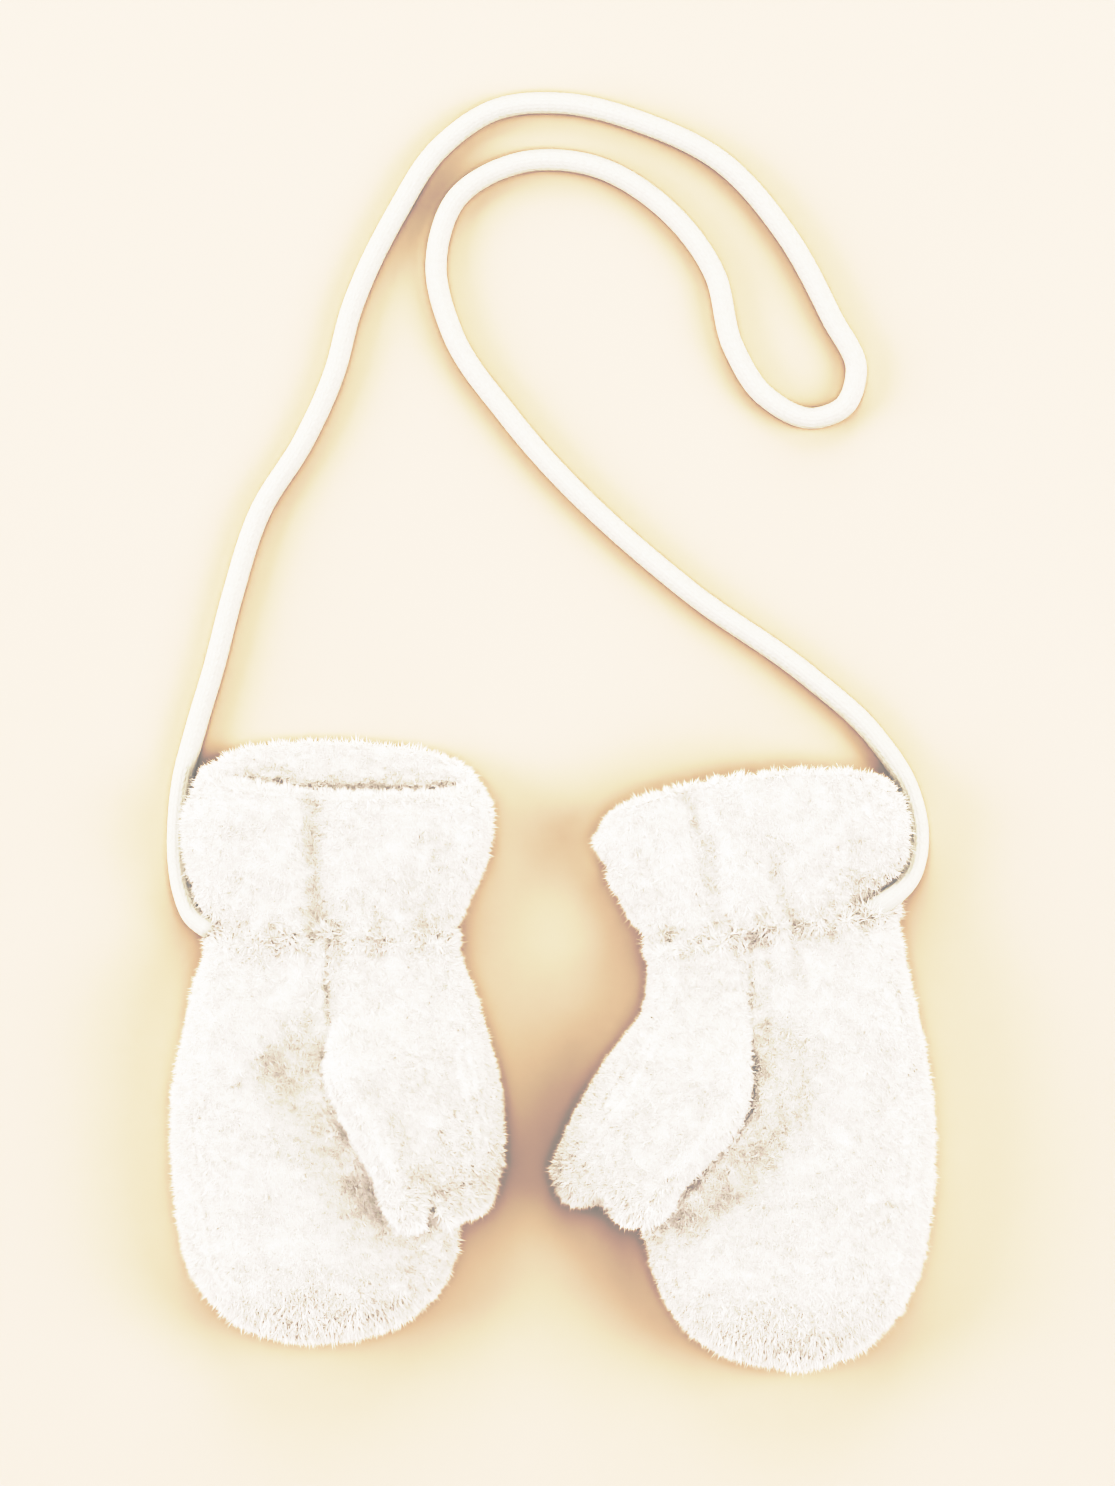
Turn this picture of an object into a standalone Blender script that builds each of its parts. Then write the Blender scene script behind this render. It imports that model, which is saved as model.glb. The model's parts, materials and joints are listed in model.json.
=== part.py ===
"""A pair of baby mittens in thick pile knit, laid flat side by side, and the soft cord that joins them.

Each mitten is three knitted tubes: an open cuff, a hand that closes at the fingertips and a thumb that
lies on the hand. Left and right are as seen from above, with the fingertips towards -Y.
"""

from collections import namedtuple
from math import copysign, cos, exp, hypot, pi, radians, sin, sqrt

import bmesh
import bpy
import numpy as np
from mathutils import Vector
from mathutils.bvhtree import BVHTree

# Driving sizes in millimetres.
MM = 0.001
HAND_WALL = 3.5           # knit and pile together
CUFF_WALL = 3.4
THUMB_WALL = 3.0
SEAM_GAP = 0.3            # between the pieces of a mitten
VALLEY_GAP = 0.78         # between hand and thumb where they start, side by side
FULL_HEIGHT = 20.0        # of a hand lying flat
SIDE_HEIGHT = 6.6         # where a lying tube is widest
SIDE_SHARE = 0.45         # the same on a low tube, as a share of its height
SECTION_POWER = 2.3       # squareness of a section, 2 is an ellipse
PRESSED_POWER = 3.3       # where the hand and thumb press against each other at the wrist
FLAT_SPREAD = 1.35        # how much of the underside lies flat
CORD_RADIUS = 2.3

# How finely the pieces are made.
TOP_POINTS = 23           # points over the top of a hand or cuff
UNDER_POINTS = 11
THUMB_TOP_POINTS = 17
THUMB_UNDER_POINTS = 11
CORD_SPACING = 8.2        # between the points of the cord's tube
CORD_ROUNDNESS = 2
ROW_STEP = 4.4            # between rings along a piece
HOLLOW_ROW_STEP = 8.0     # between rings along its hollow
RIM_EDGE = 0.8            # the straight edge of an open end
TYPICAL_SECTION = (60.0, 24.0)    # width and height that the points are spread for
TIP_TURNS = (14, 28, 42, 55, 67, 78)    # degrees round a closed tip
HOLLOW_TIP_TURNS = (25, 48, 70)
WIDE_FOLD = (6.0, 10.0)   # widths from which a fold starts to lower and only lowers the cloth
FOLD_FACING = (-0.4, 0.3)    # how far a surface faces up (-1 to 1) for folds to start, and to be full
LEAST_HOLLOW = 1.2        # height left inside where a fold or a thumb presses a piece

# A ring of a tube: its left and right edges, its height, how far its upper and under layers reach
# beyond the line between the edges, how much of it leans on the piece below (0 to 1), and how square
# its section is (2 is an ellipse).
Ring = namedtuple("Ring", "left_x left_y right_x right_y height upper under lean power",
                  defaults=(0.0, 0.0, 0.0, SECTION_POWER))

# A fold, dent or gather pressed into the upper side, along a line.
Fold = namedtuple("Fold", "start_x start_y end_x end_y depth width")

# The closed end of a bag: how far it reaches past the last ring, its squareness seen from above and
# from the side, and the notch where it is drawn together: depth, place and width across the end.
Tip = namedtuple("Tip", "reach plan_power side_power notch notch_place notch_width")

LEFT_WRIST = ((-73.6, 24.6), (-20.4, 24.6))
LEFT_VALLEY = 0.475       # where the thumb parts from the hand, across the wrist
LEFT_WRIST_HEIGHT = 15.4

LEFT_CUFF = [
    Ring(-74.8, 31.5, -17.4, 31.0, 15.8),
    Ring(-77.2, 38.0, -14.2, 37.6, 16.8, 0.0, 1.0),
    Ring(-78.0, 45.0, -12.3, 44.6, 17.2, -0.6, 2.6),
    Ring(-78.0, 51.5, -11.7, 51.2, 17.2, -1.6, 4.6),
    Ring(-76.8, 56.6, -12.6, 55.6, 16.9, -2.4, 6.0),
    Ring(-74.6, 60.4, -14.6, 58.0, 16.2, -3.4, 7.2),
]
LEFT_CUFF_FOLDS = [
    Fold(-51.2, 58.0, -49.6, 24.0, 4.6, 4.2),
    Fold(-66.0, 47.0, -67.5, 25.0, 1.5, 4.2),
    Fold(-60.0, 34.0, -59.5, 23.0, 1.3, 3.6),
    Fold(-38.0, 50.0, -39.5, 24.0, 1.3, 3.8),
    Fold(-25.5, 45.0, -27.5, 24.0, 1.4, 3.8),
]
LEFT_HAND = [
    Ring(-76.4, 17.0, -48.9, 17.0, 16.4, power=3.2),
    Ring(-78.4, 9.0, -48.5, 9.4, 17.8, power=3.0),
    Ring(-80.4, 0.0, -44.5, 1.0, 18.8, power=2.5),
    Ring(-81.8, -10.0, -34.0, -9.0, 19.4),
    Ring(-82.2, -20.0, -26.0, -19.5, 19.8),
    Ring(-81.6, -30.0, -20.2, -30.0, 20.0),
    Ring(-80.6, -37.0, -18.6, -37.0, 19.8),
]
LEFT_HAND_TIP = Tip(25.0, 2.05, 2.7, 0.8, 0.1, 0.12)
LEFT_HAND_FOLDS = [
    Fold(-59.0, -1.5, -53.5, -3.5, 3.4, 6.0),
    Fold(-45.0, -9.0, -37.0, -30.0, 2.2, 6.5),
    Fold(-36.0, 2.0, -24.0, -31.0, 8.8, 11.5),
    Fold(-66.0, 24.5, -66.5, 14.0, 1.3, 3.8),
    Fold(-57.5, 24.5, -58.0, 12.0, 1.4, 3.8),
]
LEFT_THUMB = [
    Ring(-47.7, 17.0, -17.2, 16.4, 15.8, lean=0.08, power=3.2),
    Ring(-47.6, 9.0, -14.6, 8.4, 16.8, lean=0.15, power=2.9),
    Ring(-47.4, 1.5, -12.2, 1.0, 17.0, lean=1.0, power=2.5),
    Ring(-45.4, -7.5, -10.0, -7.5, 16.6, lean=1.0),
    Ring(-41.4, -15.0, -9.4, -14.6, 15.8, lean=1.0),
    Ring(-37.6, -22.0, -9.9, -21.0, 15.0, lean=1.0),
    Ring(-34.8, -27.4, -11.4, -26.4, 14.2, lean=1.0),
]
LEFT_THUMB_TIP = Tip(8.8, 2.3, 2.4, 4.4, -0.24, 0.2)
LEFT_THUMB_FOLDS = [
    Fold(-39.0, 24.0, -39.5, 15.0, 1.1, 3.4),
    Fold(-27.5, 24.0, -26.0, 16.0, 1.1, 3.4),
]

RIGHT_WRIST = ((19.9, 22.2), (73.4, 31.2))
RIGHT_VALLEY = 0.41
RIGHT_WRIST_HEIGHT = 15.6

RIGHT_CUFF = [
    Ring(16.2, 27.6, 72.8, 37.0, 15.8),
    Ring(12.2, 34.0, 73.4, 43.4, 16.8, 1.5, 1.0),
    Ring(10.0, 39.8, 74.0, 49.0, 17.2, 4.5, 3.0),
    Ring(8.8, 44.2, 73.6, 53.2, 17.0, 7.0, 5.0),
    Ring(9.6, 48.0, 72.4, 56.6, 16.2, 7.6, 5.2),
]
RIGHT_CUFF_FOLDS = [
    Fold(27.5, 58.0, 34.0, 26.0, 2.4, 4.2),
    Fold(45.8, 42.0, 51.4, 26.0, 1.9, 4.0),
    Fold(19.5, 44.0, 25.0, 22.0, 1.6, 4.0),
    Fold(63.0, 46.0, 62.0, 31.0, 1.3, 4.0),
    Fold(67.0, 31.6, 75.0, 34.6, 2.6, 3.6),
]
RIGHT_HAND = [
    Ring(42.8, 17.4, 75.4, 22.0, 16.4, power=3.2),
    Ring(43.0, 9.0, 77.6, 12.4, 17.8, power=3.0),
    Ring(40.0, 0.0, 80.0, 2.0, 18.8, power=2.5),
    Ring(32.5, -9.0, 81.6, -8.6, 19.4),
    Ring(26.0, -18.0, 82.4, -19.0, 19.8),
    Ring(21.0, -27.5, 82.3, -29.5, 20.0),
    Ring(19.0, -36.0, 80.9, -38.8, 19.8),
]
RIGHT_HAND_TIP = Tip(30.0, 2.05, 2.7, 0.8, -0.1, 0.12)
RIGHT_HAND_FOLDS = [
    Fold(44.0, -10.0, 38.0, -24.0, 2.0, 6.0),
    Fold(38.0, 0.0, 16.0, -30.0, 8.8, 11.5),
    Fold(41.5, -42.5, 45.5, -42.5, 1.6, 6.5),
    Fold(53.5, 27.0, 53.0, 14.0, 1.4, 3.8),
    Fold(62.5, 28.0, 63.0, 17.0, 1.2, 3.8),
    Fold(67.0, 30.6, 75.0, 32.6, 2.7, 3.4),
]
RIGHT_THUMB = [
    Ring(19.7, 14.0, 41.9, 17.0, 15.8, lean=0.08, power=3.2),
    Ring(18.4, 8.2, 42.1, 9.6, 16.8, lean=0.15, power=2.9),
    Ring(13.6, 3.0, 42.4, 1.0, 17.4, lean=1.0, power=2.5),
    Ring(8.6, -4.4, 41.8, -9.6, 17.2, lean=1.0),
    Ring(4.2, -11.8, 37.4, -17.6, 16.6, lean=1.0),
    Ring(0.8, -18.8, 31.8, -23.4, 15.6, lean=1.0),
    Ring(-0.2, -24.2, 27.0, -28.0, 14.6, lean=1.0),
]
RIGHT_THUMB_TIP = Tip(9.2, 2.3, 2.4, 3.9, -0.2, 0.21)
RIGHT_THUMB_FOLDS = [
    Fold(30.0, 24.0, 30.5, 14.0, 1.3, 3.8),
]

# The cord's route, from the side of the left wrist to the top of the right one.
Place = namedtuple("Place", "x y z", defaults=(CORD_RADIUS,))
CORD_ROUTE = [
    Place(-76.9, 29.6, 6.0), Place(-79.1, 34.6, 4.3), Place(-80.3, 41.0, 2.8), Place(-80.4, 49.0),
    Place(-79.4, 58.5), Place(-76.6, 69.5), Place(-72.6, 83.0), Place(-68.6, 98.5),
    Place(-62.6, 116.5), Place(-53.6, 131.0), Place(-47.0, 145.5), Place(-43.0, 160.0),
    Place(-33.6, 180.0), Place(-24.4, 194.0), Place(-12.0, 202.5), Place(2.0, 203.8),
    Place(19.4, 199.6), Place(36.0, 191.4), Place(50.0, 175.8), Place(60.0, 157.6),
    Place(65.2, 146.4), Place(62.6, 138.8), Place(56.2, 136.2), Place(45.4, 141.2),
    Place(38.8, 151.5), Place(34.6, 167.6), Place(23.8, 181.6), Place(8.0, 190.6),
    Place(-8.0, 190.8), Place(-20.6, 183.4), Place(-25.0, 170.0), Place(-21.4, 154.2),
    Place(-9.2, 136.4), Place(29.4, 99.0), Place(54.8, 81.0), Place(68.6, 68.6), Place(76.6, 56.0),
    Place(78.8, 46.0, 2.5), Place(76.6, 37.6, 7.2), Place(69.2, 31.8, 14.4),
]

COLLECTION_NAME = "baby_mittens"
PLUSH_WHITE = (0.93, 0.915, 0.885)
CORD_IVORY = (0.93, 0.90, 0.80)


def smooth_table(table, step):
    """Rows at about the given spacing on a smooth curve through the table's rows."""
    values = np.array([list(row) for row in table], dtype=float)
    middles = (values[:, 0:2] + values[:, 2:4]) / 2 if values.shape[1] > 4 else values
    chords = np.linalg.norm(np.diff(middles, axis=0), axis=1)
    at = np.concatenate([[0.0], np.cumsum(chords)])
    slopes = np.gradient(values, at, axis=0, edge_order=1)
    count = max(2, round(at[-1] / step) + 1)
    result = []
    for place in np.linspace(0.0, at[-1], count):
        k = min(int(np.searchsorted(at, place, side="right")) - 1, len(at) - 2)
        length = at[k + 1] - at[k]
        f = (place - at[k]) / length
        start = (1 + 2 * f) * (1 - f) ** 2 * values[k] + f * (1 - f) ** 2 * length * slopes[k]
        end = f * f * (3 - 2 * f) * values[k + 1] + f * f * (f - 1) * length * slopes[k + 1]
        result.append(type(table[0])(*(start + end)))
    return result


def section_angles(top_points, under_points):
    """Angles round a section that put its points evenly over the top and, wider apart, below."""
    fine = np.linspace(0.0, pi, 400)
    width, height = TYPICAL_SECTION
    across = width / 2 * np.abs(np.cos(fine)) ** (2 / SECTION_POWER) * np.sign(np.cos(fine))
    up = height / 2 * np.abs(np.sin(fine)) ** (2 / SECTION_POWER)
    run = np.concatenate([[0.0], np.cumsum(np.hypot(np.diff(across), np.diff(up)))])
    top = np.interp(np.linspace(0.0, run[-1], top_points + 1), run, fine)
    under = np.interp(np.linspace(0.0, run[-1], under_points + 1), run, fine) + pi
    return list(top[:-1]) + list(under[:-1])


def taper(value, low, high):
    """0 below low, 1 above high and a smooth rise between."""
    f = min(max((value - low) / (high - low), 0.0), 1.0)
    return f * f * (3 - 2 * f)


def fold_press(point, normal, folds):
    """How the folds move a point: narrow ones press the surface in, wide ones lower it."""
    total = np.zeros(3)
    for fold in folds:
        run_x = fold.end_x - fold.start_x
        run_y = fold.end_y - fold.start_y
        length = hypot(run_x, run_y)
        along = ((point[0] - fold.start_x) * run_x + (point[1] - fold.start_y) * run_y) / length
        beyond = max(-along, along - length, 0.0)
        aside = ((point[0] - fold.start_x) * run_y - (point[1] - fold.start_y) * run_x) / length
        press = fold.depth * exp(-(aside * aside + beyond * beyond) / (fold.width * fold.width))
        lower = taper(fold.width, *WIDE_FOLD)
        total -= press * (1 - lower) * normal
        total[2] -= press * lower * point[2] / FULL_HEIGHT
    return total


class Rest:
    """The height at which a piece rests on another, with the cloth bridging beside its edges."""

    REACHES = ((0.0, 1), (1.4, 8), (2.6, 12), (4.4, 12), (6.4, 12), (8.4, 12))   # distance, feelers
    LEVEL_REACH = 2.6       # as far as this around a high place the cloth stays at its height
    SLOPE = 1.0             # and beyond it comes down at this slope
    CLEARANCE = SEAM_GAP + 0.15
    SOFTNESS = 4.0
    ABOVE_ALL = 100.0

    def __init__(self, grid):
        count = len(grid[0])
        points = [tuple(point) for ring in grid for point in ring]
        faces = []
        for k in range(len(grid) - 1):
            for i in range(count):
                j = (i + 1) % count
                faces.append((k * count + i, k * count + j, (k + 1) * count + j, (k + 1) * count + i))
        self.tree = BVHTree.FromPolygons(points, faces)

    def height(self, x, y):
        best = 0.0
        for reach, feelers in self.REACHES:
            drop = max(0.0, reach - self.LEVEL_REACH) * self.SLOPE
            for k in range(feelers):
                angle = 2 * pi * k / feelers
                start = Vector((x + reach * cos(angle), y + reach * sin(angle), self.ABOVE_ALL))
                hit = self.tree.ray_cast(start, Vector((0.0, 0.0, -1.0)))[0]
                if hit is not None:
                    best = max(best, hit.z + self.CLEARANCE - drop)
        return best

    def soft_height(self, x, y):
        """The same, evened out around the place."""
        around = [2 * pi * k / 8 for k in range(8)]
        heights = [self.height(x + self.SOFTNESS * cos(a), y + self.SOFTNESS * sin(a)) for a in around]
        return (sum(heights) + 2 * self.height(x, y)) / (len(around) + 2)


class Station:
    """One section of a tube: a ring, the way onward, and how far a closed tip has drawn it in."""

    def __init__(self, ring, ahead, forward=0.0, plan=1.0, side=1.0, tip=None):
        self.ring = ring
        self.ahead = ahead
        self.forward = forward
        self.plan = plan
        self.side = side
        self.tip = tip
        left = np.array([ring.left_x, ring.left_y])
        right = np.array([ring.right_x, ring.right_y])
        self.middle = (left + right) / 2 + ahead * forward
        self.half = (right - left) / 2 * plan

    def notch(self, place):
        """How far a closed tip is drawn back at a place across it."""
        if self.tip is None:
            return 0.0
        aside = (place - self.tip.notch_place) / self.tip.notch_width
        return self.tip.notch * (self.forward / self.tip.reach) ** 2 * exp(-aside * aside)

    def points(self, angles, rest=None):
        ring = self.ring
        side = min(SIDE_HEIGHT, ring.height * SIDE_SHARE)
        leans = rest is not None and ring.lean > 0
        left_base = rest.soft_height(*(self.middle - self.half)) * ring.lean if leans else 0.0
        right_base = rest.soft_height(*(self.middle + self.half)) * ring.lean if leans else 0.0
        points = []
        for angle in angles:
            across = copysign(abs(cos(angle)) ** (2 / ring.power), cos(angle))
            rise = abs(sin(angle)) ** (2 / ring.power)
            layer = ring.upper if sin(angle) >= 0 else ring.under
            onward = layer * rise - self.notch(across * self.plan)
            x, y = self.middle + self.half * across + self.ahead * onward
            base = (left_base * (1 - across) + right_base * (1 + across)) / 2
            if sin(angle) >= 0:
                z = base + side + (ring.height - side) * rise * self.side
            else:
                low = rest.height(x, y) * ring.lean if leans else 0.0
                z = low + max(0.0, side - side * FLAT_SPREAD * rise * self.side)
                z += (base - low) * (1 - rise) ** 2
            points.append((x, y, z))
        return points


def ring_middle(ring):
    return np.array([(ring.left_x + ring.right_x) / 2, (ring.left_y + ring.right_y) / 2])


def moved(ring, towards, distance):
    """The same ring, moved a little along the tube."""
    step = ring_middle(towards) - ring_middle(ring)
    across = np.array([ring.right_x - ring.left_x, ring.right_y - ring.left_y])
    square = np.array([-across[1], across[0]]) / np.linalg.norm(across)
    square = square * copysign(distance, float(square @ step))
    return ring._replace(left_x=ring.left_x + square[0], right_x=ring.right_x + square[0],
                         left_y=ring.left_y + square[1], right_y=ring.right_y + square[1])


def stations(table, step, tip=None, turns=(), wall=0.0):
    """The sections of a tube, at its rings and round its closed tip. With a wall it is the hollow's."""
    rings = smooth_table(table, step)
    rings.insert(1, moved(rings[0], rings[1], RIM_EDGE))
    if tip is None:
        rings.insert(-1, moved(rings[-1], rings[-2], RIM_EDGE))
    middles = [ring_middle(ring) for ring in rings]
    result = []
    for k, ring in enumerate(rings):
        onward = middles[min(k + 1, len(rings) - 1)] - middles[max(k - 1, 0)]
        across = np.array([ring.right_x - ring.left_x, ring.right_y - ring.left_y])
        ahead = np.array([-across[1], across[0]]) / np.linalg.norm(across)
        ahead = ahead * copysign(1.0, float(ahead @ onward))
        result.append(Station(ring, ahead))
    for degrees in turns if tip else ():
        forward = (tip.reach - wall) * sin(radians(degrees))
        reach = forward / tip.reach
        plan = (1 - reach ** tip.plan_power) ** (1 / tip.plan_power)
        side = (1 - reach ** tip.side_power) ** (1 / tip.side_power)
        result.append(Station(rings[-1], ahead, forward, plan, side, tip))
    return result


def tip_point(table, tip, rest, wall=0.0):
    """Where a bag's tip, or its hollow's, comes to a point."""
    last = stations(table, ROW_STEP, tip)[-1]
    end = Station(last.ring, last.ahead, tip.reach - wall, tip=tip)
    x, y = end.middle - end.ahead * end.notch(0.0)
    base = rest.soft_height(x, y) * last.ring.lean if rest is not None else 0.0
    return np.array([x, y, min(SIDE_HEIGHT, last.ring.height * SIDE_SHARE) + base])


def press_folds(points, folds):
    """Move the upper and side points in along their normals where folds cross them."""
    rows, count = points.shape[:2]
    around = np.roll(points, -1, axis=1) - np.roll(points, 1, axis=1)
    along = np.gradient(points, axis=0)
    normals = np.cross(around, along)
    normals /= np.maximum(np.linalg.norm(normals, axis=2, keepdims=True), 1e-9)
    centre = points.mean(axis=1, keepdims=True)
    outward = np.sign(np.sum(normals * (points - centre), axis=(1, 2)))
    normals *= outward[:, None, None]
    rim = points[1].mean(axis=0) - points[0].mean(axis=0)
    rim /= np.linalg.norm(rim)
    for k in range(rows):
        for i in range(count):
            facing_up = taper(normals[k, i, 2], *FOLD_FACING)
            if facing_up > 0:
                inwards = fold_press(points[k, i], normals[k, i], folds) * facing_up
                if k < 2:
                    inwards -= rim * (inwards @ rim)
                points[k, i] += inwards
                points[k, i, 2] = max(points[k, i, 2], 0.0)
    return points


def hollow_points(outer, sections, angles, wall):
    """The inner side of a tube: each outer section drawn in by the wall, open between its layers."""
    is_top = np.array([sin(a) >= -1e-9 for a in angles])
    is_under = np.array([sin(a) <= 1e-9 or abs(cos(a)) > 0.999 for a in angles])
    result = []
    for ring, section in zip(outer, sections):
        power = section.ring.power
        across = np.array([copysign(abs(cos(a)) ** (2 / power), cos(a)) for a in angles])
        rise = np.array([abs(sin(a)) ** (2 / power) for a in angles])
        full = np.linalg.norm(section.half)
        inside = np.linalg.norm(section.half / section.plan) - wall
        if section.tip:
            reach = section.forward / (section.tip.reach - wall)
            inside *= (1 - reach ** section.tip.plan_power) ** (1 / section.tip.plan_power)
        top = side_of_ring(ring, across, is_top)
        under = side_of_ring(ring, across, is_under)
        points = []
        for i in range(len(angles)):
            upper = top(across[i] * inside / full)
            lower = under(across[i] * inside / full)
            middle = (upper + lower) / 2
            spread = (upper - lower) / 2
            spread[:2] *= sqrt(rise[i])
            spread[2] = max(spread[2] - wall, LEAST_HOLLOW / 2) * rise[i]
            points.append(middle + spread if is_top[i] else middle - spread)
        result.append(points)
    return np.array(result)


def side_of_ring(ring, across, chosen):
    """Reads the upper or the under side of a ring at a place across it."""
    order = np.argsort(across[chosen])
    places = across[chosen][order]
    points = ring[chosen][order]
    return lambda place: np.array([np.interp(place, places, points[:, axis]) for axis in range(3)])


def knitted_tube(name, table, folds, wall, angles, material, collection, tip=None, rest=None):
    """A tube or bag of knitted cloth through its rings. Gives back the points of its outer side."""
    outer_sections = stations(table, ROW_STEP, tip, TIP_TURNS)
    outer = press_folds(np.array([s.points(angles, rest) for s in outer_sections]), folds)
    inner_sections = stations(table, HOLLOW_ROW_STEP, tip, HOLLOW_TIP_TURNS, wall)
    inner = press_folds(np.array([s.points(angles, rest) for s in inner_sections]), folds)
    inner = hollow_points(inner, inner_sections, angles, wall)

    shape = bmesh.new()
    outer_rings = [[shape.verts.new(Vector(point) * MM) for point in ring] for ring in outer]
    inner_rings = [[shape.verts.new(Vector(point) * MM) for point in ring] for ring in inner]
    skin = [(outer_rings, False), (inner_rings, True)]
    for rings, flipped in skin:
        for first, second in zip(rings, rings[1:]):
            join_rings(shape, first, second, flipped)
    join_rings(shape, inner_rings[0], outer_rings[0], False)
    if tip:
        close_tip(shape, outer_rings[-1], tip_point(table, tip, rest))
        close_tip(shape, inner_rings[-1], tip_point(table, tip, rest, wall))
    else:
        join_rings(shape, outer_rings[-1], inner_rings[-1], False)
    bmesh.ops.recalc_face_normals(shape, faces=shape.faces)
    mesh = bpy.data.meshes.new(name)
    shape.to_mesh(mesh)
    shape.free()
    mesh.shade_smooth()
    mesh.materials.append(material)
    collection.objects.link(bpy.data.objects.new(name, mesh))
    return outer


def join_rings(shape, first, second, flipped):
    for i in range(len(first)):
        j = (i + 1) % len(first)
        corners = [first[i], first[j], second[j], second[i]]
        shape.faces.new(corners[::-1] if flipped else corners)


def close_tip(shape, ring, point):
    end = shape.verts.new(Vector(point) * MM)
    for i in range(len(ring)):
        shape.faces.new((ring[i], ring[(i + 1) % len(ring)], end))


def wrist_ring(wrist, start, end, height, shift):
    """A ring on part of the wrist's line, moved along the mitten by the shift."""
    left = np.array(wrist[0])
    run = np.array(wrist[1]) - left
    away = np.array([-run[1], run[0]]) / np.linalg.norm(run) * shift
    first = left + run * start + away
    last = left + run * end + away
    power = SECTION_POWER if end - start == 1 else PRESSED_POWER
    return Ring(first[0], first[1], last[0], last[1], height, power=power)


def mitten(side, wrist, valley, height, tables, material, collection):
    """The cuff, hand and thumb of one mitten. The thumb is on the side that faces the other mitten."""
    width = hypot(wrist[1][0] - wrist[0][0], wrist[1][1] - wrist[0][1])
    parting = VALLEY_GAP / 2 / width
    spans = {"left": ((0.0, valley - parting), (valley + parting, 1.0)),
             "right": ((valley + parting, 1.0), (0.0, valley - parting))}
    hand_span, thumb_span = spans[side]
    wide = section_angles(TOP_POINTS, UNDER_POINTS)
    narrow = section_angles(THUMB_TOP_POINTS, THUMB_UNDER_POINTS)
    cuff = [wrist_ring(wrist, 0.0, 1.0, height, SEAM_GAP)] + tables["cuff"]
    hand = [wrist_ring(wrist, *hand_span, height, 0.0)] + tables["hand"]
    thumb = [wrist_ring(wrist, *thumb_span, height, 0.0)] + tables["thumb"]
    knitted_tube(side + "_cuff", cuff, tables["cuff_folds"], CUFF_WALL, wide, material, collection)
    palm = knitted_tube(side + "_hand", hand, tables["hand_folds"], HAND_WALL, wide, material,
                        collection, tables["hand_tip"])
    knitted_tube(side + "_thumb", thumb, tables["thumb_folds"], THUMB_WALL, narrow, material,
                 collection, tables["thumb_tip"], Rest(palm))


def cord(name, material, collection):
    """The soft round cord, as a tube along a smooth curve through its route."""
    points = smooth_table(CORD_ROUTE, CORD_SPACING)
    curve = bpy.data.curves.new(name, "CURVE")
    curve.dimensions = "3D"
    curve.bevel_depth = CORD_RADIUS * MM
    curve.bevel_resolution = CORD_ROUNDNESS
    curve.use_fill_caps = True
    spline = curve.splines.new("POLY")
    spline.points.add(len(points) - 1)
    for slot, point in zip(spline.points, points):
        slot.co = (point.x * MM, point.y * MM, max(point.z, CORD_RADIUS) * MM, 1.0)
    curve.materials.append(material)
    collection.objects.link(bpy.data.objects.new(name, curve))


def principled(name, colour, roughness):
    """A plain material in the piece's colour."""
    material = bpy.data.materials.new(name)
    material.use_nodes = True
    shader = material.node_tree.nodes["Principled BSDF"]
    shader.inputs["Base Color"].default_value = (*colour, 1.0)
    shader.inputs["Roughness"].default_value = roughness
    shader.inputs["Metallic"].default_value = 0.0
    return material


def build():
    for leftover in list(bpy.data.objects):
        bpy.data.objects.remove(leftover, do_unlink=True)
    collection = bpy.data.collections.new(COLLECTION_NAME)
    bpy.context.scene.collection.children.link(collection)
    plush = principled("plush", PLUSH_WHITE, 0.95)
    ivory = principled("cord_yarn", CORD_IVORY, 0.85)
    mitten("left", LEFT_WRIST, LEFT_VALLEY, LEFT_WRIST_HEIGHT,
           {"cuff": LEFT_CUFF, "cuff_folds": LEFT_CUFF_FOLDS,
            "hand": LEFT_HAND, "hand_folds": LEFT_HAND_FOLDS, "hand_tip": LEFT_HAND_TIP,
            "thumb": LEFT_THUMB, "thumb_folds": LEFT_THUMB_FOLDS, "thumb_tip": LEFT_THUMB_TIP},
           plush, collection)
    mitten("right", RIGHT_WRIST, RIGHT_VALLEY, RIGHT_WRIST_HEIGHT,
           {"cuff": RIGHT_CUFF, "cuff_folds": RIGHT_CUFF_FOLDS,
            "hand": RIGHT_HAND, "hand_folds": RIGHT_HAND_FOLDS, "hand_tip": RIGHT_HAND_TIP,
            "thumb": RIGHT_THUMB, "thumb_folds": RIGHT_THUMB_FOLDS, "thumb_tip": RIGHT_THUMB_TIP},
           plush, collection)
    cord("cord", ivory, collection)


build()
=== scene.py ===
import json
import math
import random
import bpy
import bmesh
import numpy as np
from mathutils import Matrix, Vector, noise
from mathutils.bvhtree import BVHTree

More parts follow.
